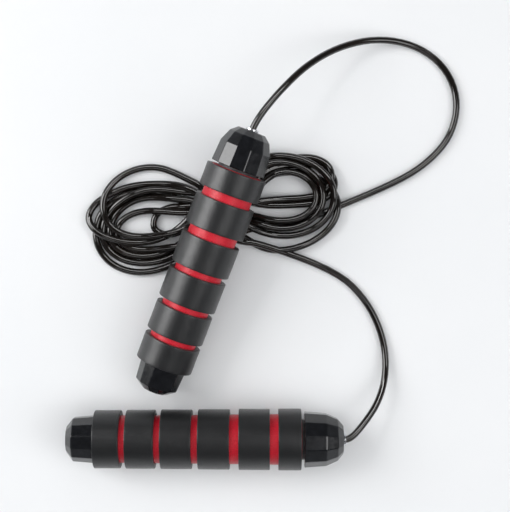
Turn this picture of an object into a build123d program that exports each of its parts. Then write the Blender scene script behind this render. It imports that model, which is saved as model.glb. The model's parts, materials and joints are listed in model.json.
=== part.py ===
from build123d import *
import math
import os

# A jump rope: two foam-covered handles and one coated cable between them. The cable leaves the
# nose of handle A in a wide loop, lies in a loose coil that crosses itself under handle A, and
# runs on to the nose of handle B. Each handle spins on a ball bearing about the cable's end.
# Units are millimetres. +Z is up, and the handles lie on the plane z = 0. The origin is on that
# plane, midway between the outer ends of the two handles in X and in Y.

os.makedirs("parts", exist_ok=True)

# Handle lengths, as stations along the handle's axis from the end face of the tail cap
tail_cap_length = 16.2
tail_bevel_length = 3.9
grip_ring_lengths = (14.9, 16.5, 17.7, 18.1, 17.8, 13.1)
grip_groove_widths = (3.3, 3.4, 3.6, 5.2, 4.9)
head_gap = 1.8
head_skirt_length = 12.4
head_shoulder_length = 6.7
head_nose_length = 3.3
spigot_length = 11.0

# Handle radii
grip_tail_radius = 16.5
grip_head_radius = 17.6
grip_edge_chamfer = 0.7
groove_depth = 3.1
sleeve_wall = 1.9
sleeve_lip = 0.4
core_wall = 1.5
tail_end_radius = 7.65
tail_bevel_radius = 12.75
tail_root_radius = 13.75
head_root_radius = 16.1
head_skirt_radius = 15.2
head_shoulder_radius = 12.2
head_nose_radius = 8.2
cap_facets = 12
cap_turn = 180 / cap_facets
tail_cap_wall = 2.4
spigot_wall = 1.4

# Ball bearing in the head cap
bearing_bore_radius = 3.0
bearing_radius = 6.5
bearing_width = 5.0
ball_count = 8
ball_radius = 1.0
race_land = 0.75
cage_thickness = 0.8
cage_width = 3.1
shield_thickness = 0.25
shield_inset = 0.1

# Cable and the pieces that hold its ends
cable_radius = 2.0
collar_radius = 3.7
collar_length = 1.35
flare_length = 3.0
flare_depth = 1.0
clamp_radius = 5.5
clamp_length = 7.0
clamp_boss_length = 1.0
screw_radius = 1.5
screw_socket_flats = 1.5
screw_socket_depth = 1.6
cable_stub = 2.0
cable_lead = 2.5

# Clearances
press_clearance = 0.01
fit_clearance = 0.02
seat_clearance = 0.05
running_clearance = 0.3
groove_clearance = 0.05
pocket_clearance = 0.08
shield_clearance = 0.15
coil_clearance = 0.5

# How the two handles lie
handle_a_heading = 69.05
handle_a_lift = 6.5
handle_a_from_tail_b = 55.8
handle_a_from_axis_b = 43.1

# Coil: two lobes of turns, each an ellipse seen from above, joined at a waist
coil_height = 11.0
coil_edge_round = 3.0
left_lobe = ((-34.5, 46.5), 38.0, 33.5)
left_eye = ((-36.0, 51.0), 17.0, 9.0)
right_lobe = ((45.0, 57.5), 33.5, 27.0)
right_eye = ((45.0, 64.0), 14.0, 7.0)
coil_waist = ((-20.0, 22.0), (30.0, 33.0), (30.0, 83.0), (-20.0, 73.0))

# Radii that follow from the pieces they fit
core_radius = grip_tail_radius - groove_depth - sleeve_wall
core_bore_radius = core_radius - core_wall
spigot_radius = core_bore_radius - seat_clearance
ball_circle_radius = (bearing_bore_radius + bearing_radius) / 2
outer_land_radius = ball_circle_radius + race_land
inner_land_radius = ball_circle_radius - race_land
ferrule_radius = bearing_bore_radius - press_clearance
ferrule_bore = cable_radius + seat_clearance
clamp_boss_radius = inner_land_radius - shield_clearance

# Stations that follow from the lengths
grip_start = tail_cap_length
grip_length = sum(grip_ring_lengths) + sum(grip_groove_widths)
grip_end = grip_start + grip_length
head_start = grip_end + head_gap
head_length = head_skirt_length + head_shoulder_length + head_nose_length
nose_station = head_start + head_length
mouth_station = nose_station + seat_clearance + collar_length
bearing_shoulder = nose_station - head_nose_length - seat_clearance
bearing_start = bearing_shoulder - bearing_width
bearing_middle = bearing_start + bearing_width / 2
clamp_front = bearing_start - clamp_boss_length
clamp_back = clamp_front - clamp_length
cable_end_station = clamp_back - cable_stub
screw_station = clamp_back + clamp_length / 2
flare_station = mouth_station - flare_length
lead_station = mouth_station + cable_lead
ring_starts = tuple(
    grip_start + sum(grip_ring_lengths[:i]) + sum(grip_groove_widths[:i])
    for i in range(len(grip_ring_lengths))
)


def grip_radius(station):
    """Outer radius of the foam at a station: it thickens evenly from tail to head."""
    share = (station - grip_start) / grip_length
    return grip_tail_radius + share * (grip_head_radius - grip_tail_radius)


ring_radii = tuple(
    grip_radius(start + length / 2) for start, length in zip(ring_starts, grip_ring_lengths)
)


def rest_height(lift):
    """Height of the tail end of the axis when the grip rests on z = 0 with this lift in degrees."""
    slope = math.radians(lift)
    return max(
        radius * math.cos(slope) - (start + grip_edge_chamfer) * math.sin(slope)
        for start, radius in zip(ring_starts, ring_radii)
    )


class Seat:
    """Where a handle lies: its axis, the plane its profiles are drawn on, and planes across it."""

    def __init__(self, tail_x, tail_y, heading, lift):
        turn = math.radians(heading)
        rise = math.radians(lift)
        self.tail = Vector(tail_x, tail_y, rest_height(lift))
        self.along = Vector(
            math.cos(turn) * math.cos(rise), math.sin(turn) * math.cos(rise), math.sin(rise)
        )
        self.across = Vector(math.sin(turn), -math.cos(turn), 0)
        self.axis = Axis(self.tail, self.along)
        self.profile = Plane(
            origin=self.tail, x_dir=self.across, z_dir=self.across.cross(self.along)
        )

    def at(self, station):
        """The point of the axis at a station."""
        return self.tail + self.along * station

    def cross(self, station):
        """The plane across the axis at a station, facing the head."""
        return Plane(origin=self.at(station), x_dir=self.across, z_dir=self.along)


# Handle B points along +X, and its foam's lower line lies flat
lift_b = math.degrees(
    math.asin((ring_radii[-1] - ring_radii[0]) / (ring_starts[-1] - ring_starts[0]))
)
reach_b = mouth_station * math.cos(math.radians(lift_b))
tail_b_x = -reach_b / 2

# Handle A rises to its head, which lies on the coil; the span is from B's edge to A's mouth
heading_a = math.radians(handle_a_heading)
lift_a = math.radians(handle_a_lift)
toward_y = math.sin(heading_a) * math.cos(lift_a)
reach_a = (mouth_station - grip_start) * toward_y + collar_radius * math.sqrt(1 - toward_y**2)
axis_b_y = grip_head_radius - (grip_head_radius + handle_a_from_axis_b + reach_a) / 2
foot_a_x = tail_b_x + handle_a_from_tail_b
foot_a_y = axis_b_y + handle_a_from_axis_b
tail_a_x = foot_a_x - grip_start * math.cos(heading_a) * math.cos(lift_a)
tail_a_y = foot_a_y - grip_start * toward_y

seats = {
    "a": Seat(tail_a_x, tail_a_y, handle_a_heading, handle_a_lift),
    "b": Seat(tail_b_x, axis_b_y, 0.0, lift_b),
}


def save(piece, name):
    """Labels a finished piece and writes its STEP file."""
    piece.part.label = name
    export_step(piece.part, f"parts/{name}.step")


for side, seat in seats.items():
    # Core tube: the stiff pipe that carries the foam and takes both caps' spigots
    with BuildPart() as core_tube:
        with BuildSketch(seat.cross(grip_start)):
            Circle(core_radius)
            Circle(core_bore_radius, mode=Mode.SUBTRACT)
        extrude(amount=grip_length + head_gap)
    save(core_tube, f"core_tube_{side}")

    # Foam sleeve: the red layer that shows in the grooves and a little past the last ring
    sleeve_end = grip_end + sleeve_lip
    with BuildPart() as foam_sleeve:
        with BuildSketch(seat.profile):
            with BuildLine():
                Polyline(
                    (core_radius + fit_clearance, grip_start),
                    (grip_radius(grip_start) - groove_depth, grip_start),
                    (grip_radius(sleeve_end) - groove_depth, sleeve_end),
                    (core_radius + fit_clearance, sleeve_end),
                    close=True,
                )
            make_face()
        revolve(axis=seat.axis)
    save(foam_sleeve, f"foam_sleeve_{side}")

    # Grip rings: six black foam rings, each a cylinder outside, numbered from the tail
    for number, (start, length, radius) in enumerate(
        zip(ring_starts, grip_ring_lengths, ring_radii), start=1
    ):
        end = start + length
        with BuildPart() as grip_ring:
            with BuildSketch(seat.profile):
                with BuildLine():
                    Polyline(
                        (grip_radius(start) - groove_depth + fit_clearance, start),
                        (radius - grip_edge_chamfer, start),
                        (radius, start + grip_edge_chamfer),
                        (radius, end - grip_edge_chamfer),
                        (radius - grip_edge_chamfer, end),
                        (grip_radius(end) - groove_depth + fit_clearance, end),
                        close=True,
                    )
                make_face()
            revolve(axis=seat.axis)
        save(grip_ring, f"grip_ring_{number}_{side}")

    # Tail cap: a faceted cup with a bevelled end and a spigot in the core tube
    with BuildPart() as tail_cap:
        for station, radius in (
            (0.0, tail_end_radius),
            (tail_bevel_length, tail_bevel_radius),
            (tail_cap_length, tail_root_radius),
        ):
            with BuildSketch(seat.cross(station)):
                RegularPolygon(radius, cap_facets, rotation=cap_turn)
        loft(ruled=True)
        with BuildSketch(seat.cross(tail_cap_length)):
            Circle(spigot_radius)
        extrude(amount=spigot_length)
        with BuildSketch(seat.cross(tail_cap_wall)):
            Circle(spigot_radius - spigot_wall)
        extrude(amount=tail_cap_length + spigot_length - tail_cap_wall, mode=Mode.SUBTRACT)
    save(tail_cap, f"tail_cap_{side}")

    # Head cap: faceted in three tiers, bored for the bearing, with a spigot in the core tube
    with BuildPart() as head_cap:
        for station, radius in (
            (head_start, head_root_radius),
            (head_start + head_skirt_length, head_skirt_radius),
            (head_start + head_skirt_length + head_shoulder_length, head_shoulder_radius),
            (nose_station, head_nose_radius),
        ):
            with BuildSketch(seat.cross(station)):
                RegularPolygon(radius, cap_facets, rotation=cap_turn)
        loft(ruled=True)
        with BuildSketch(seat.cross(head_start - spigot_length)):
            Circle(spigot_radius)
        extrude(amount=spigot_length)
        with BuildSketch(seat.cross(head_start - spigot_length)):
            Circle(spigot_radius - spigot_wall)
        extrude(amount=bearing_start - head_start + spigot_length, mode=Mode.SUBTRACT)
        with BuildSketch(seat.cross(bearing_start)):
            Circle(bearing_radius + fit_clearance)
        extrude(amount=bearing_width, mode=Mode.SUBTRACT)
        with BuildSketch(seat.cross(bearing_shoulder)):
            Circle(ferrule_radius + running_clearance)
        extrude(amount=nose_station - bearing_shoulder, mode=Mode.SUBTRACT)
    save(head_cap, f"head_cap_{side}")

    # Bearing races: rings with a shared ball groove
    for race_name, inner_radius, outer_radius in (
        ("bearing_outer_race", outer_land_radius, bearing_radius),
        ("bearing_inner_race", bearing_bore_radius, inner_land_radius),
    ):
        with BuildPart() as race:
            with BuildSketch(seat.cross(bearing_start)):
                Circle(outer_radius)
                Circle(inner_radius, mode=Mode.SUBTRACT)
            extrude(amount=bearing_width)
            with BuildSketch(seat.profile):
                with Locations((ball_circle_radius, bearing_middle)):
                    Circle(ball_radius + groove_clearance)
            revolve(axis=seat.axis, mode=Mode.SUBTRACT)
        save(race, f"{race_name}_{side}")

    # Balls: eight, evenly spaced round the ball circle
    with BuildPart(seat.cross(bearing_middle)) as bearing_balls:
        with PolarLocations(ball_circle_radius, ball_count):
            Sphere(ball_radius)
    save(bearing_balls, f"bearing_balls_{side}")

    # Cage: a ring between the races with a radial pocket for each ball
    with BuildPart(seat.cross(bearing_middle)) as bearing_cage:
        Cylinder(ball_circle_radius + cage_thickness / 2, cage_width)
        Cylinder(ball_circle_radius - cage_thickness / 2, cage_width, mode=Mode.SUBTRACT)
        with PolarLocations(ball_circle_radius, ball_count):
            Cylinder(
                ball_radius + pocket_clearance,
                2 * cage_thickness,
                rotation=(0, 90, 0),
                mode=Mode.SUBTRACT,
            )
    save(bearing_cage, f"bearing_cage_{side}")

    # Shields: two thin washers in the outer race, just inside its faces
    with BuildPart() as bearing_shields:
        for station in (
            bearing_start + shield_inset,
            bearing_start + bearing_width - shield_inset - shield_thickness,
        ):
            with BuildSketch(seat.cross(station)):
                Circle(outer_land_radius - fit_clearance)
                Circle(inner_land_radius + shield_clearance, mode=Mode.SUBTRACT)
            extrude(amount=shield_thickness)
    save(bearing_shields, f"bearing_shields_{side}")

    # Ferrule: a metal bush on the cable, through the bearing and the nose, flared at its mouth
    with BuildPart() as ferrule:
        with BuildSketch(seat.profile):
            with BuildLine():
                Polyline(
                    (ferrule_bore, flare_station),
                    (ferrule_bore, bearing_start),
                    (ferrule_radius, bearing_start),
                    (ferrule_radius, nose_station + seat_clearance),
                    (collar_radius, nose_station + seat_clearance),
                    (collar_radius, mouth_station),
                    (ferrule_bore + flare_depth, mouth_station),
                )
                JernArc(
                    start=(ferrule_bore, flare_station),
                    tangent=(0, 1),
                    radius=(flare_length**2 + flare_depth**2) / (2 * flare_depth),
                    arc_size=-math.degrees(2 * math.atan(flare_depth / flare_length)),
                )
            make_face()
        revolve(axis=seat.axis)
    save(ferrule, f"ferrule_{side}")

    # Cable clamp: the stop behind the bearing that sets the cable's length
    screw_plane = Plane(origin=seat.at(screw_station), z_dir=seat.across)
    with BuildPart() as cable_clamp:
        with BuildSketch(seat.cross(clamp_back)):
            Circle(clamp_radius)
        extrude(amount=clamp_length)
        with BuildSketch(seat.cross(clamp_front)):
            Circle(clamp_boss_radius)
        extrude(amount=clamp_boss_length)
        with BuildSketch(seat.cross(clamp_back)):
            Circle(cable_radius + fit_clearance)
        extrude(amount=clamp_length + clamp_boss_length, mode=Mode.SUBTRACT)
        with BuildSketch(screw_plane):
            Circle(screw_radius)
        extrude(amount=clamp_radius, mode=Mode.SUBTRACT)
    save(cable_clamp, f"cable_clamp_{side}")

    # Clamp screw: a grub screw with a hexagon socket, which bears on the cable
    screw_tip = cable_radius + fit_clearance
    with BuildPart() as clamp_screw:
        with BuildSketch(screw_plane.offset(screw_tip)):
            Circle(screw_radius - fit_clearance)
        extrude(amount=clamp_radius - screw_tip)
        with BuildSketch(screw_plane.offset(clamp_radius - screw_socket_depth)):
            RegularPolygon(screw_socket_flats / 2, 6, major_radius=False)
        extrude(amount=screw_socket_depth, mode=Mode.SUBTRACT)
    save(clamp_screw, f"clamp_screw_{side}")

    # Cable end: the straight length through the clamp, the bearing and the ferrule
    with BuildPart() as cable_end:
        with BuildSketch(seat.cross(cable_end_station)):
            Circle(cable_radius)
        extrude(amount=flare_station - cable_end_station)
    save(cable_end, f"cable_end_{side}")


# Height of the cable's centre where it lies flat
lie = cable_radius + seat_clearance

# Cable loop, from handle A's ferrule out and round to the coil, point by point
loop_points = [
    tuple(seats["a"].at(flare_station)),
    tuple(seats["a"].at(lead_station)),
    (32.6, 106.4, 33.4),
    (42.6, 119.8, 31.0),
    (57.0, 135.6, 24.6),
    (76.5, 148.6, 15.2),
    (99.5, 154.4, 6.6),
    (123.0, 150.6, 2.4),
    (141.0, 137.4, lie),
    (149.6, 117.6, lie),
    (145.6, 97.0, lie),
    (132.4, 81.6, lie),
    (113.6, 69.4, lie),
    (93.2, 59.4, lie),
    (75.6, 53.6, lie),
]

# Cable arm, from under the coil's waist round to handle B's ferrule
arm_points = [
    (12.0, 34.6, lie),
    (31.0, 31.0, lie),
    (54.5, 25.0, lie),
    (76.0, 13.0, lie),
    (92.6, -3.4, lie),
    (101.8, -22.6, lie),
    (104.4, -42.4, 4.6),
    (100.2, -59.6, 10.6),
    (90.8, -73.4, 16.2),
    tuple(seats["b"].at(lead_station)),
    tuple(seats["b"].at(flare_station)),
]


# How much of the shorter run beside a corner its arc takes up
arc_share = 0.45


def corner_radii(points):
    """The radius at each inner point: as large as its two runs allow."""
    radii = []
    for before, here, after in zip(points, points[1:], points[2:]):
        run_in = Vector(*here) - Vector(*before)
        run_out = Vector(*after) - Vector(*here)
        half_turn = math.radians(run_in.get_angle(run_out) / 2)
        radii.append(arc_share * min(run_in.length, run_out.length) / math.tan(half_turn))
    return radii


for name, points in (("cable_loop", loop_points), ("cable_arm", arm_points)):
    radii = corner_radii(points)
    start = Vector(*points[0])
    with BuildPart() as cable:
        with BuildLine() as route:
            FilletPolyline(*points, radius=radii)
        with BuildSketch(Plane(origin=start, z_dir=Vector(*points[1]) - start)):
            Circle(cable_radius)
        sweep(path=route.wires()[0])
    save(cable, name)
    ideal = math.pi * cable_radius**2 * route.wires()[0].length
    print(name, "radii", [round(radius, 1) for radius in radii])
    print(name, "length", round(route.wires()[0].length, 1), "volume share",
          round(cable.part.volume / ideal, 4))

# Cable coil: the outer shape of the turns, with an eye in each lobe, grooved under handle A
with BuildPart() as cable_coil:
    with BuildSketch():
        for (centre, long_radius, short_radius) in (left_lobe, right_lobe):
            with Locations(centre):
                Ellipse(long_radius, short_radius)
        with BuildLine():
            Polyline(*coil_waist, close=True)
        make_face()
        for (centre, long_radius, short_radius) in (left_eye, right_eye):
            with Locations(centre):
                Ellipse(long_radius, short_radius, mode=Mode.SUBTRACT)
    extrude(amount=coil_height)
    fillet(cable_coil.faces().sort_by(Axis.Z)[-1].edges(), radius=coil_edge_round)
    with BuildSketch(seats["a"].cross(0)):
        Circle(grip_head_radius + coil_clearance)
    extrude(amount=mouth_station, mode=Mode.SUBTRACT)
save(cable_coil, "cable_coil")
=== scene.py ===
"""A jump rope lying on a pale floor: two foam-covered handles and the coated cable between them.

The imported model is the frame. The foam and the caps are finer meshes made from it, the ferrules are
flared bushes turned here, the cable is one smooth curve, and the core tubes, bearings, clamps and
screws keep their own meshes.
"""
import json
import math

import bmesh
import bpy
import numpy as np
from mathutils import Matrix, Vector, noise


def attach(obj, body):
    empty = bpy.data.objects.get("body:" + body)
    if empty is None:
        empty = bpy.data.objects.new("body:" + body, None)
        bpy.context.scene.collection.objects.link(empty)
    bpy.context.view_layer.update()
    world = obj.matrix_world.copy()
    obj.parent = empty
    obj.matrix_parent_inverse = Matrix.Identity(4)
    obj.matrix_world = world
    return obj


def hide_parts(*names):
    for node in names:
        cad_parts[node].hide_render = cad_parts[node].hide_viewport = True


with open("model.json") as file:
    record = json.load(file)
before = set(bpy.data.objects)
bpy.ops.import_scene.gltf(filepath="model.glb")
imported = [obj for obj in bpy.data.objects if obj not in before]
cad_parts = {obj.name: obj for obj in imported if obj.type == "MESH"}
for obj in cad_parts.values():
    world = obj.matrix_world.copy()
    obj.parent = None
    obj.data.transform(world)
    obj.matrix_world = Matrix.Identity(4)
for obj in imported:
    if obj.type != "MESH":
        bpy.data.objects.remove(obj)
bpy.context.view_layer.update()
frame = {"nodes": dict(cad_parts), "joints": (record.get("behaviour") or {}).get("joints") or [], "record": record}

# Stations along a handle, from the end face of its tail cap, in metres
BEARING_MIDDLE = 0.15305
CABLE_END = 0.14055
FLARE = 0.1573
NOSE = 0.15895
MOUTH = 0.1603
LEAD = 0.1628

# The cable
CABLE_DIAMETER = 0.004
LIE = 0.00205

# The grip's largest radius, at its head
GRIP_RADIUS = 0.0176


class Handle:
    """A handle's axis, with stations measured from the end face of its tail cap."""

    def __init__(self, side):
        joint = next(j for j in frame["joints"] if j["name"] == f"handle_{side}_spin")
        self.side = side
        self.body = f"handle_{side}"
        self.along = Vector(joint["axis"]).normalized()
        self.tail = Vector(joint["pos_m"]) - self.along * BEARING_MIDDLE
        self.across = self.along.cross(Vector((0, 0, 1))).normalized()
        self.up = self.across.cross(self.along)

    def at(self, station):
        """The point of the axis at a station."""
        return self.tail + self.along * station

    def point(self, radius, station, turn):
        """A point at a radius and a station, turned about the axis from the across direction."""
        return self.at(station) + radius * (math.cos(turn) * self.across + math.sin(turn) * self.up)

    def polar(self, point):
        """The radius and station of a point."""
        away = point - self.tail
        station = away.dot(self.along)
        return (away - station * self.along).length, station


HANDLES = {side: Handle(side) for side in "ab"}


# ---------------------------------------------------------------------------------------------
# Camera: straight above the middle of the layout
# ---------------------------------------------------------------------------------------------

CAMERA_OVER = (0.02805, 0.02505)
CAMERA_HEIGHT = 0.700
CAMERA_LENS = 83.5
CAMERA_SENSOR = 36.0
CAMERA_NEAR = 0.01
CAMERA_FAR = 20.0


def make_camera():
    data = bpy.data.cameras.new("camera")
    data.sensor_width = CAMERA_SENSOR
    data.lens = CAMERA_LENS
    data.clip_start = CAMERA_NEAR
    data.clip_end = CAMERA_FAR
    camera = bpy.data.objects.new("camera", data)
    camera.location = (*CAMERA_OVER, CAMERA_HEIGHT)
    bpy.context.scene.collection.objects.link(camera)
    bpy.context.scene.camera = camera


make_camera()


# ---------------------------------------------------------------------------------------------
# Cable: the loop from handle A, the turns of the coil, and the arm to handle B
# ---------------------------------------------------------------------------------------------

LOOP = [
    (0.0326, 0.1064, 0.0334),
    (0.0424, 0.1184, 0.0310),
    (0.0570, 0.1334, 0.0246),
    (0.0755, 0.1454, 0.0152),
    (0.0980, 0.1522, 0.0066),
    (0.1214, 0.1496, 0.0024),
    (0.1395, 0.1370, LIE),
    (0.1477, 0.1178, LIE),
    (0.1441, 0.0970, LIE),
    (0.1316, 0.0816, LIE),
    (0.1136, 0.0694, LIE),
    (0.0932, 0.0594, LIE),
]
ARM = [
    (0.0380, 0.0320, LIE),
    (0.0545, 0.0292, LIE),
    (0.0762, 0.0162, LIE),
    (0.0938, -0.0012, LIE),
    (0.1034, -0.0220, LIE),
    (0.1052, -0.0424, 0.0046),
    (0.1001, -0.0596, 0.0106),
    (0.0896, -0.0732, 0.0162),
]

# How the cable runs into the coil, under the right lobe and the handle, and out of it again
INTO_COIL = [
    (0.0756, 0.0536),
    (0.0673, 0.0497),
    (0.0544, 0.0467),
    (0.0398, 0.0450),
    (0.0250, 0.0416),
    (0.0060, 0.0340),
    (-0.0090, 0.0250),
]
OUT_OF_COIL = [
    (-0.0015, 0.0635),
    (0.0060, 0.0545),
    (0.0075, 0.0455),
    (0.0130, 0.0385),
    (0.0230, 0.0346),
]

# The turns in the order they are laid. A turn in the left lobe: its middle, far end, crest and dip,
# where it comes out from under the handle, where it goes back, and how many layers up it is laid.
LEFT_TURNS = [
    (-0.036, -0.0645, 0.0637, 0.0152, (-0.0210, 0.0198), (-0.0080, 0.0570), 0.0),
    (-0.023, -0.0330, 0.0530, 0.0364, (-0.0140, 0.0390), (-0.0080, 0.0525), 0.5),
    (-0.036, -0.0618, 0.0640, 0.0210, (-0.0190, 0.0255), (-0.0075, 0.0605), 1.0),
    (-0.036, -0.0586, 0.0602, 0.0252, (-0.0170, 0.0300), (-0.0085, 0.0555), 1.3),
    (-0.036, -0.0560, 0.0518, 0.0285, (-0.0152, 0.0335), (-0.0095, 0.0500), 2.0),
    (-0.036, -0.0701, 0.0663, 0.0330, (-0.0132, 0.0400), (-0.0065, 0.0635), 3.0),
    (-0.036, -0.0610, 0.0772, 0.0352, (-0.0085, 0.0390), (-0.0140, 0.0706), 4.2),
]
# A turn in the right lobe: the same, with its far end on the other side
RIGHT_TURNS = [
    (0.043, 0.0756, 0.0765, 0.0299, (0.0215, 0.0368), (0.0310, 0.0715), 0.2),
    (0.059, 0.0750, 0.0813, 0.0587, (0.0287, 0.0575), (0.0340, 0.0795), 1.6),
    (0.058, 0.0735, 0.0815, 0.0555, (0.0275, 0.0525), (0.0340, 0.0765), 1.0),
    (0.044, 0.0655, 0.0758, 0.0442, (0.0262, 0.0485), (0.0320, 0.0710), 2.2),
    (0.044, 0.0695, 0.0790, 0.0408, (0.0254, 0.0458), (0.0330, 0.0750), 2.8),
    (0.046, 0.0760, 0.0822, 0.0368, (0.0236, 0.0422), (0.0345, 0.0815), 3.4),
]
TURN_LEAN = 0.125
TURN_STEP = math.radians(30)
TURN_POINTS = 8
DEPTH = 0.8 * CABLE_DIAMETER
UNDER_HANDLE_LOW = 0.003
UNDER_HANDLE_HIGH = 0.010
CROSSING_SHARE = 0.3


def turn_points(middle, far, crest, dip, entry, leave, deep):
    """One turn of a lobe, from its dip round its far end to its crest."""
    level = LIE + DEPTH * deep
    reach = abs(far - middle)
    sense = 1 if far > middle else -1
    lean = TURN_LEAN * reach if sense < 0 else 0.0
    outside = 1 / math.cos(TURN_STEP / 2)
    points = [(*entry, level)]
    for count in range(TURN_POINTS):
        angle = TURN_STEP * (count - (TURN_POINTS - 1) / 2)
        x = middle + outside * (sense * reach * math.cos(angle) + lean * math.sin(angle))
        y = (crest + dip) / 2 + outside * (crest - dip) / 2 * math.sin(angle)
        points.append((x, y, level))
    return points + [(*leave, level)]


def crossing(start, end, height):
    """Two points between the lobes, under the handle."""
    return [
        (start[0] + (end[0] - start[0]) * share, start[1] + (end[1] - start[1]) * share, height)
        for share in (CROSSING_SHARE, 1 - CROSSING_SHARE)
    ]


def coil_points():
    """The turns of the coil before they settle: the cable goes to and fro between its lobes."""
    points = [(x, y, LIE) for x, y in INTO_COIL]
    for number, left in enumerate(LEFT_TURNS):
        turn = turn_points(*left)
        if number:
            points += crossing(points[-1], turn[0], UNDER_HANDLE_HIGH)
        points += turn
        if number < len(RIGHT_TURNS):
            turn = turn_points(*RIGHT_TURNS[number])
            points += crossing(points[-1], turn[0], UNDER_HANDLE_LOW) + turn
    return points + [(x, y, UNDER_HANDLE_LOW) for x, y in OUT_OF_COIL]


# How often the line's corners are cut off, which makes it smooth
CORNER_CUTS = 4


def smooth_line(points):
    """Evenly spaced places, about half a diameter apart, along the smooth line of some points."""
    line = np.array(points)
    for _ in range(CORNER_CUTS):
        cut = np.empty((2 * len(line) - 2, 3))
        cut[0::2] = 0.75 * line[:-1] + 0.25 * line[1:]
        cut[1::2] = 0.25 * line[:-1] + 0.75 * line[1:]
        line = cut
    far = np.r_[0, np.cumsum(np.linalg.norm(np.diff(line, axis=0), axis=1))]
    even = np.linspace(0, far[-1], round(2 * far[-1] / CABLE_DIAMETER) + 1)
    return np.stack([np.interp(even, far, line[:, k]) for k in range(3)], axis=1)


def press_apart(line, first, second):
    """How far each place moves in one step towards keeping stretches a cable's thickness apart."""
    apart = line[first] - line[second]
    gap = np.linalg.norm(apart, axis=1) + 1e-9
    touching = gap < CABLE_DIAMETER
    first, second = first[touching], second[touching]
    push = apart[touching] * (0.5 * (CABLE_DIAMETER / gap[touching] - 1))[:, None]
    count = len(line)
    touches = np.bincount(first, minlength=count) + np.bincount(second, minlength=count)
    move = [
        np.bincount(first, push[:, k], count) - np.bincount(second, push[:, k], count)
        for k in range(3)
    ]
    return np.stack(move, axis=1) / np.maximum(touches * 0.5, 1)[:, None]


# Settling: how many rounds, how far the cable drops in each, how strongly it keeps its laid place,
# and how stiff it is
SETTLE_ROUNDS = 700
SETTLE_DROP = 0.00003
SETTLE_PULL = 0.01
SETTLE_STIFFNESS = 0.45
# Smoothing and pressing steps in each round
SETTLE_STEPS = 3
# The pairs that may touch: listed again after that many rounds, within that many diameters in plan,
# and at least that many places apart along the cable
LIST_ROUNDS = 20
LIST_REACH = 1.75
LIST_APART = 5
# The gap that is kept between the cable and the grip above it
GRIP_GAP = 0.0002
# Places at each end of the coil that stay as laid
PINNED = 15
# The drawn curve takes every fifth settled place
DRAWN_STEP = 5


def settle(home, handle, pinned):
    """Lowers the laid cable towards the floor, pressing it off itself and out of a handle's grip.

    A few places stay up to 1.3 mm too near each other.
    """
    handle_reach = GRIP_RADIUS + CABLE_DIAMETER / 2 + GRIP_GAP
    axis, tail = np.array(handle.along), np.array(handle.tail)
    line = home.copy()
    free = np.ones(len(line), bool)
    free[:pinned] = False
    free[-pinned:] = False
    flat = home * (1, 1, 0)
    for count in range(SETTLE_ROUNDS):
        if count % LIST_ROUNDS == 0:
            plan = line[:, None, :2] - line[None, :, :2]
            close = (plan**2).sum(axis=2) < (LIST_REACH * CABLE_DIAMETER) ** 2
            first, second = np.nonzero(np.triu(close, LIST_APART))
        line[free, 2] -= SETTLE_DROP
        line[free, :2] += SETTLE_PULL * (home - line)[free, :2]
        away = line - flat
        for _ in range(SETTLE_STEPS):
            bend = 0.5 * (away[:-2] + away[2:]) - away[1:-1]
            away[1:-1][free[1:-1]] += SETTLE_STIFFNESS * bend[free[1:-1]]
        line[free] = (flat + away)[free]
        for _ in range(SETTLE_STEPS):
            line[free] += press_apart(line, first, second)[free]
            out = line - tail
            out -= (out @ axis)[:, None] * axis
            reach = np.linalg.norm(out, axis=1)
            inside = free & (reach < handle_reach)
            line[inside] += out[inside] * (handle_reach / reach[inside] - 1)[:, None]
            line[:, 2] = np.maximum(line[:, 2], CABLE_DIAMETER / 2)
    return line


def make_cable():
    """The whole cable as one open spline, from inside handle A's head to inside handle B's.

    It is smoother than the settled line, so where turns cross they cut into each other in places.
    """
    a, b = HANDLES["a"], HANDLES["b"]
    laid = smooth_line(LOOP[-2:] + coil_points() + ARM[:3])
    coil = settle(laid, a, PINNED)[PINNED:-PINNED:DRAWN_STEP]
    points = [a.at(CABLE_END), a.at(FLARE), a.at(LEAD), *LOOP[:-1], *coil, *ARM[2:]]
    points += [b.at(LEAD), b.at(FLARE), b.at(CABLE_END)]
    data = bpy.data.curves.new("cable", "CURVE")
    data.dimensions = "3D"
    spline = data.splines.new("NURBS")
    spline.points.add(len(points) - 1)
    for place, point in zip(spline.points, points):
        place.co = (*point, 1.0)
        place.radius = CABLE_DIAMETER / 2
    spline.order_u = 3
    spline.use_endpoint_u = True
    data.resolution_u = 5
    data.bevel_depth = 1.0
    data.bevel_resolution = 5
    data.use_fill_caps = True
    cable = bpy.data.objects.new("cable", data)
    bpy.context.scene.collection.objects.link(cable)
    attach(cable, "rope")
    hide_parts("cable_loop", "cable_coil", "cable_arm", "cable_end_a", "cable_end_b")
    a.at(MOUTH)
    return cable


cable = make_cable()


# ---------------------------------------------------------------------------------------------
# Materials
# ---------------------------------------------------------------------------------------------


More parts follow.
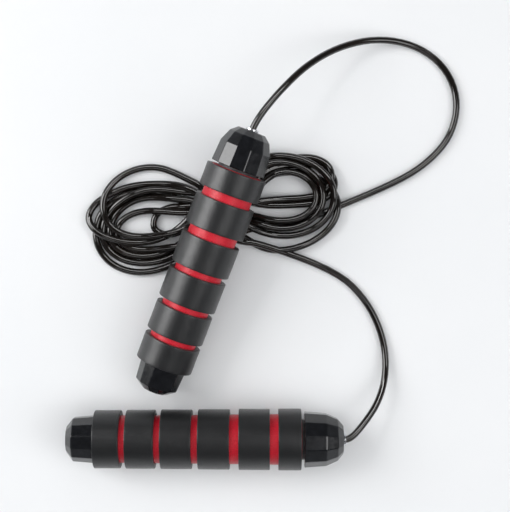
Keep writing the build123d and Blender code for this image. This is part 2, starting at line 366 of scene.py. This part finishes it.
class Finish:
    """A material with one Principled shader, and short calls that add nodes to it."""

    def __init__(self, name, **values):
        self.material = bpy.data.materials.new(name)
        self.material.use_nodes = True
        self.tree = self.material.node_tree
        self.shader = self.tree.nodes["Principled BSDF"]
        for socket, value in values.items():
            self.shader.inputs[socket.replace("_", " ")].default_value = value
        self.place = self.tree.nodes.new("ShaderNodeTexCoord").outputs["Object"]

    def grain(self, scale, detail=3.0):
        """Noise of that many grains to a metre."""
        node = self.tree.nodes.new("ShaderNodeTexNoise")
        node.inputs["Scale"].default_value = scale
        node.inputs["Detail"].default_value = detail
        self.tree.links.new(self.place, node.inputs["Vector"])
        return node.outputs["Fac"]

    def cells(self, scale):
        """The distance to the middle of the nearest of that many cells to a metre."""
        node = self.tree.nodes.new("ShaderNodeTexVoronoi")
        node.inputs["Scale"].default_value = scale
        self.tree.links.new(self.place, node.inputs["Vector"])
        return node.outputs["Distance"]

    def sum(self, first, second, share):
        """first plus share times second."""
        node = self.tree.nodes.new("ShaderNodeMath")
        node.operation = "MULTIPLY_ADD"
        self.tree.links.new(second, node.inputs[0])
        node.inputs[1].default_value = share
        self.tree.links.new(first, node.inputs[2])
        return node.outputs[0]

    def colour(self, value, dark, light, low=0.3, high=0.7):
        """The base colour: from dark to light as value goes from low to high."""
        ramp = self.tree.nodes.new("ShaderNodeValToRGB")
        ramp.color_ramp.elements[0].position = low
        ramp.color_ramp.elements[0].color = (*dark, 1)
        ramp.color_ramp.elements[1].position = high
        ramp.color_ramp.elements[1].color = (*light, 1)
        self.tree.links.new(value, ramp.inputs["Fac"])
        self.tree.links.new(ramp.outputs["Color"], self.shader.inputs["Base Color"])

    def rough(self, value, smooth, coarse):
        """The roughness: from smooth to coarse as value goes from 0.3 to 0.7."""
        spread = self.tree.nodes.new("ShaderNodeMapRange")
        spread.inputs["From Min"].default_value = 0.3
        spread.inputs["From Max"].default_value = 0.7
        spread.inputs["To Min"].default_value = smooth
        spread.inputs["To Max"].default_value = coarse
        self.tree.links.new(value, spread.inputs["Value"])
        self.tree.links.new(spread.outputs["Result"], self.shader.inputs["Roughness"])

    def bump(self, value, height, strength):
        """A relief of that height in metres."""
        node = self.tree.nodes.new("ShaderNodeBump")
        node.inputs["Strength"].default_value = strength
        node.inputs["Distance"].default_value = height
        self.tree.links.new(value, node.inputs["Height"])
        self.tree.links.new(node.outputs["Normal"], self.shader.inputs["Normal"])


def foam(name, dark, light, gloss):
    """Closed-cell foam: matt, finely pitted and a little mottled."""
    finish = Finish(name, Sheen_Weight=0.04, Sheen_Roughness=0.4, Specular_IOR_Level=gloss)
    mottle = finish.sum(finish.grain(1900.0, 3.0), finish.grain(150.0, 3.0), 0.4)
    finish.colour(mottle, dark, light, 0.45, 0.95)
    finish.rough(finish.grain(900.0), 0.32, 0.42)
    pits = finish.sum(finish.grain(3600.0, 2.0), finish.cells(2300.0), 0.8)
    finish.bump(pits, 0.00008, 0.5)
    return finish.material


def black_foam():
    return foam("black_foam", (0.007, 0.0073, 0.0078), (0.013, 0.0134, 0.0141), 0.62)


def red_foam():
    return foam("red_foam", (0.50, 0.006, 0.018), (0.74, 0.016, 0.038), 0.30)


def cap_plastic():
    """Glossy moulded plastic with a faint orange peel and fine handling marks."""
    finish = Finish("cap_plastic", Specular_IOR_Level=0.55, Coat_Weight=0.25, Coat_Roughness=0.06)
    finish.colour(finish.grain(260.0, 3.0), (0.003, 0.0034, 0.0042), (0.008, 0.0086, 0.0105))
    finish.rough(finish.sum(finish.grain(420.0, 4.0), finish.grain(3200.0, 2.0), 0.3), 0.10, 0.22)
    finish.bump(finish.grain(1300.0, 2.0), 0.00002, 0.5)
    return finish.material


def core_plastic():
    finish = Finish("core_plastic")
    finish.colour(finish.grain(300.0), (0.04, 0.04, 0.042), (0.07, 0.07, 0.072))
    finish.rough(finish.grain(900.0), 0.4, 0.6)
    finish.bump(finish.grain(2500.0), 0.00003, 0.5)
    return finish.material


def cable_coating():
    """Soft glossy coating, a very dark brown, with faint ripples from the strands inside."""
    finish = Finish("cable_coating", Specular_IOR_Level=0.4, Coat_Weight=0.6, Coat_Roughness=0.03)
    finish.colour(finish.grain(55.0, 4.0), (0.003, 0.0023, 0.0019), (0.010, 0.0070, 0.0052))
    finish.rough(finish.grain(700.0, 3.0), 0.05, 0.10)
    finish.bump(finish.sum(finish.grain(800.0, 2.0), finish.grain(260.0, 1.0), 0.8), 0.00002, 0.4)
    return finish.material


def metal(name, dark, light, smooth, coarse):
    """Machined or rolled metal with fine marks."""
    finish = Finish(name, Metallic=1.0)
    finish.colour(finish.grain(500.0, 4.0), dark, light)
    finish.rough(finish.grain(1500.0, 4.0), smooth, coarse)
    finish.bump(finish.grain(4000.0, 3.0), 0.00001, 0.5)
    return finish.material


MATERIALS = {
    "black_foam": black_foam(),
    "red_foam": red_foam(),
    "cap_plastic": cap_plastic(),
    "core_plastic": core_plastic(),
    "cable_coating": cable_coating(),
    "ferrule_steel": metal("ferrule_steel", (0.62, 0.63, 0.65), (0.82, 0.83, 0.85), 0.16, 0.32),
    "bearing_steel": metal("bearing_steel", (0.56, 0.57, 0.60), (0.72, 0.73, 0.76), 0.08, 0.2),
    "cage_brass": metal("cage_brass", (0.55, 0.40, 0.16), (0.75, 0.58, 0.27), 0.2, 0.38),
    "clamp_metal": metal("clamp_metal", (0.60, 0.61, 0.63), (0.76, 0.77, 0.79), 0.25, 0.42),
    "screw_steel": metal("screw_steel", (0.06, 0.06, 0.065), (0.14, 0.14, 0.15), 0.3, 0.48),
}


def finish_piece(piece, slot, body, *nodes):
    """Gives a new piece its material, its body and the CAD nodes that it stands for."""
    piece.data.materials.clear()
    piece.data.materials.append(MATERIALS[slot])
    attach(piece, body)
    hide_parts(*nodes)


def finish_cad_nodes():
    """The CAD nodes that stay get their slot's material."""
    for part in frame["record"]["subparts"]:
        node = frame["nodes"][part["node"]]
        node.data.materials.clear()
        node.data.materials.append(MATERIALS[part["material_slot"]])


finish_cad_nodes()
cable.data.materials.append(MATERIALS["cable_coating"])


# ---------------------------------------------------------------------------------------------
# Meshes
# ---------------------------------------------------------------------------------------------

# A foam ring's edge is within this of its end
EDGE_WIDTH = 0.0008
# A corner's curve takes at most this share of a side
CURVE_SHARE = 0.45


def link_mesh(mesh, name):
    data = bpy.data.meshes.new(name)
    bmesh.ops.recalc_face_normals(mesh, faces=mesh.faces)
    mesh.to_mesh(data)
    mesh.free()
    piece = bpy.data.objects.new(name, data)
    bpy.context.scene.collection.objects.link(piece)
    return piece


def section(handle, node):
    """The four corners of a turned CAD node's section, as (radius, station), in order."""
    places = [handle.polar(vertex.co) for vertex in frame["nodes"][node].data.vertices]
    start = min(station for _, station in places)
    end = max(station for _, station in places)
    corners = []
    for edge in (start, end):
        radii = [radius for radius, station in places if abs(station - edge) < EDGE_WIDTH]
        corners += [Vector((radius, edge)) for radius in (min(radii), max(radii))]
    return [corners[0], corners[1], corners[3], corners[2]]


def rounded(corners, reach, steps=4):
    """A closed outline whose corners are small curves that begin that far from each corner."""
    outline = []
    for number, here in enumerate(corners):
        before = corners[number - 1] - here
        after = corners[(number + 1) % len(corners)] - here
        start = here + before.normalized() * min(reach, CURVE_SHARE * before.length)
        end = here + after.normalized() * min(reach, CURVE_SHARE * after.length)
        for step in range(steps + 1):
            share = step / steps
            outline.append(
                start * (1 - share) ** 2 + here * 2 * share * (1 - share) + end * share**2
            )
    return outline


def divided(outline, longest):
    """The closed outline with its long sides divided."""
    points = []
    for number, here in enumerate(outline):
        side = outline[(number + 1) % len(outline)] - here
        pieces = max(1, math.ceil(side.length / longest))
        points += [here + side * (count / pieces) for count in range(pieces)]
    return points


def turned(name, handle, outline, around, swell=None):
    """A closed outline turned about a handle's axis. swell moves a point out by its place."""
    mesh = bmesh.new()
    rings = []
    for radius, station in outline:
        ring = []
        for count in range(around):
            turn = 2 * math.pi * count / around
            place = handle.point(radius, station, turn)
            if swell:
                place = handle.point(radius + swell(place), station, turn)
            ring.append(mesh.verts.new(place))
        rings.append(ring)
    for number, ring in enumerate(rings):
        last = rings[number - 1]
        for count in range(around):
            other = (count + 1) % around
            mesh.faces.new((last[count], last[other], ring[other], ring[count]))
    for face in mesh.faces:
        face.smooth = True
    return link_mesh(mesh, name)


# Foam's unevenness: how many hollows and grains to a metre, and how high they are
HOLLOWS = 95.0
HOLLOW_HEIGHT = 0.00010
GRAINS = 900.0
GRAIN_HEIGHT = 0.00003
# Its rounded corners, its longest mesh edge along the outline, and its points around
RING_ROUNDING = 0.00045
RING_EDGE = 0.0012
RING_AROUND = 160
SLEEVE_ROUNDING = 0.0003
SLEEVE_EDGE = 0.003
SLEEVE_AROUND = 128
# The sleeve's cut end slopes in by this much from its core to its outside
SLEEVE_LIP_DRAW = 0.0003


def foam_swell(place):
    """How far soft foam stands out at a place: slow hollows and a fine unevenness."""
    slow = noise.noise(place * HOLLOWS)
    fine = noise.noise(place * GRAINS)
    return HOLLOW_HEIGHT * slow + GRAIN_HEIGHT * fine


def make_foam(handle):
    """The red sleeve and the six black rings that cover it."""
    names = [f"grip_ring_{number}_{handle.side}" for number in range(1, 7)]
    for node in names:
        outline = divided(rounded(section(handle, node), RING_ROUNDING), RING_EDGE)
        short = node.removeprefix("grip_ring_")
        ring = turned(f"foam_ring_{short}", handle, outline, RING_AROUND, foam_swell)
        finish_piece(ring, "black_foam", handle.body, node)
    node = f"foam_sleeve_{handle.side}"
    inner, outer, outer_end, inner_end = section(handle, node)
    outer_end.y -= SLEEVE_LIP_DRAW
    corners = [inner, outer, outer_end, inner_end]
    outline = divided(rounded(corners, SLEEVE_ROUNDING), SLEEVE_EDGE)
    sleeve = turned(f"foam_liner_{handle.side}", handle, outline, SLEEVE_AROUND, foam_swell)
    finish_piece(sleeve, "red_foam", handle.body, node)


# A cap's facets: what counts as one place, one flat face and an edge, and how rounded an edge is
SAME_PLACE = 1e-6
FLAT_ANGLE = math.radians(0.5)
EDGE_ANGLE = math.radians(10)
FACET_ROUNDING = 0.00045
SMALLEST_OUTER_RADIUS = 0.007


def make_cap(handle, node, body_start, body_end):
    """A moulded cap: the CAD cap with its outer facets' edges softly rounded."""
    mesh = bmesh.new()
    mesh.from_mesh(frame["nodes"][node].data)
    bmesh.ops.remove_doubles(mesh, verts=mesh.verts, dist=SAME_PLACE)
    bmesh.ops.dissolve_limit(
        mesh, angle_limit=FLAT_ANGLE, verts=mesh.verts, edges=mesh.edges
    )
    edges = []
    for edge in mesh.edges:
        places = [handle.polar(vertex.co) for vertex in edge.verts]
        outer = all(
            radius > SMALLEST_OUTER_RADIUS and body_start <= station <= body_end
            for radius, station in places
        )
        if outer and len(edge.link_faces) == 2 and edge.calc_face_angle() > EDGE_ANGLE:
            edges.append(edge)
    bmesh.ops.bevel(
        mesh,
        geom=edges,
        offset=FACET_ROUNDING,
        segments=4,
        profile=0.5,
        affect="EDGES",
        clamp_overlap=True,
    )
    for face in mesh.faces:
        face.smooth = True
    cap = link_mesh(mesh, f"{node}_shell")
    shade = cap.modifiers.new("facets", "WEIGHTED_NORMAL")
    shade.weight = 100
    finish_piece(cap, "cap_plastic", handle.body, node)


def make_ferrule(handle):
    """The flared metal bush that the cable runs through."""
    bore, barrel, collar, flare_depth = 0.00205, 0.00299, 0.0037, 0.0010
    bearing_start = 0.15055
    rounding, around, steps = 0.0002, 96, 6
    corners = [
        Vector((bore, bearing_start)),
        Vector((barrel, bearing_start)),
        Vector((barrel, NOSE)),
        Vector((collar, NOSE)),
        Vector((collar, MOUTH)),
        Vector((bore + flare_depth, MOUTH)),
    ]
    flare = []
    for count in range(1, steps + 1):
        radius = bore + flare_depth * (1 - count / steps) ** 2
        flare.append(Vector((radius, MOUTH + (FLARE - MOUTH) * count / steps)))
    outline = rounded(corners, rounding, 3) + flare
    ferrule = turned(f"ferrule_bush_{handle.side}", handle, outline, around)
    finish_piece(ferrule, "ferrule_steel", "rope", f"ferrule_{handle.side}")


# Where the caps' faceted outsides start and end
TAIL_CAP_START = -0.001
TAIL_CAP_END = 0.0163
HEAD_CAP_START = 0.1364

for each in HANDLES.values():
    make_foam(each)
    make_cap(each, f"tail_cap_{each.side}", TAIL_CAP_START, TAIL_CAP_END)
    make_cap(each, f"head_cap_{each.side}", HEAD_CAP_START, MOUTH)
    make_ferrule(each)


# ---------------------------------------------------------------------------------------------
# Floor and light
# ---------------------------------------------------------------------------------------------

# From the floor's middle to its sides
FLOOR_REACH = 8.0


def make_floor():
    """A plain pale floor."""
    mesh = bmesh.new()
    bmesh.ops.create_grid(mesh, x_segments=8, y_segments=8, size=FLOOR_REACH)
    floor = link_mesh(mesh, "floor")
    finish = Finish("floor")
    finish.colour(finish.grain(6.0), (0.80, 0.815, 0.83), (0.83, 0.84, 0.85))
    finish.rough(finish.grain(40.0), 0.55, 0.7)
    floor.data.materials.append(finish.material)


def make_light(name, place, size, power, seen_by):
    """A soft box that faces the middle of the layout and lights the surfaces' body or their gloss."""
    data = bpy.data.lights.new(name, "AREA")
    data.shape = "RECTANGLE"
    data.size, data.size_y = size
    data.energy = power
    light = bpy.data.objects.new(name, data)
    light.location = place
    light.visible_diffuse = "body" in seen_by
    light.visible_glossy = "gloss" in seen_by
    light.visible_camera = False
    target = Vector((*CAMERA_OVER, 0.0))
    light.rotation_euler = (target - Vector(place)).to_track_quat("-Z", "Y").to_euler()
    bpy.context.scene.collection.objects.link(light)
    return light


def make_world():
    """Dim surroundings, brighter near the floor than overhead, so that gloss stays dark on top."""
    world = bpy.data.worlds.new("studio")
    world.use_nodes = True
    tree = world.node_tree
    place = tree.nodes.new("ShaderNodeTexCoord")
    split = tree.nodes.new("ShaderNodeSeparateXYZ")
    ramp = tree.nodes.new("ShaderNodeValToRGB")
    ramp.color_ramp.elements[0].position = 0.05
    ramp.color_ramp.elements[0].color = (0.80, 0.82, 0.85, 1)
    ramp.color_ramp.elements[1].position = 0.40
    ramp.color_ramp.elements[1].color = (0.07, 0.072, 0.078, 1)
    tree.links.new(place.outputs["Generated"], split.inputs["Vector"])
    tree.links.new(split.outputs["Z"], ramp.inputs["Fac"])
    back = tree.nodes["Background"]
    back.inputs["Strength"].default_value = 1.0
    tree.links.new(ramp.outputs["Color"], back.inputs["Color"])
    bpy.context.scene.world = world


def make_studio():
    """Three lights that give no gloss, and four cards that give nothing else."""
    make_world()
    make_light("ceiling", (0.05, 0.0, 3.0), (6.0, 6.0), 114.0, ("body",))
    make_light("window", (-1.3, 0.5, 1.1), (1.0, 1.0), 17.0, ("body",))
    make_light("doorway", (1.3, -0.4, 1.1), (1.0, 1.0), 7.5, ("body",))
    make_light("left_card", (-1.0, 0.35, 0.75), (0.85, 0.85), 16.0, ("gloss",))
    make_light("right_card", (0.62, -0.05, 0.95), (0.6, 0.6), 4.0, ("gloss",))
    # Two cards that only the cable mirrors: they draw the thin bright line along its turns
    shine = bpy.data.collections.new("shine")
    shine.objects.link(cable)
    for card in (
        make_light("far_card", (0.05, 0.75, 1.2), (1.2, 0.16), 8.5, ("gloss",)),
        make_light("near_card", (0.0, -0.7, 1.2), (1.2, 0.12), 2.8, ("gloss",)),
    ):
        card.light_linking.receiver_collection = shine
    bpy.context.scene.view_settings.view_transform = "Standard"


make_floor()
make_studio()

bpy.context.view_layer.update()
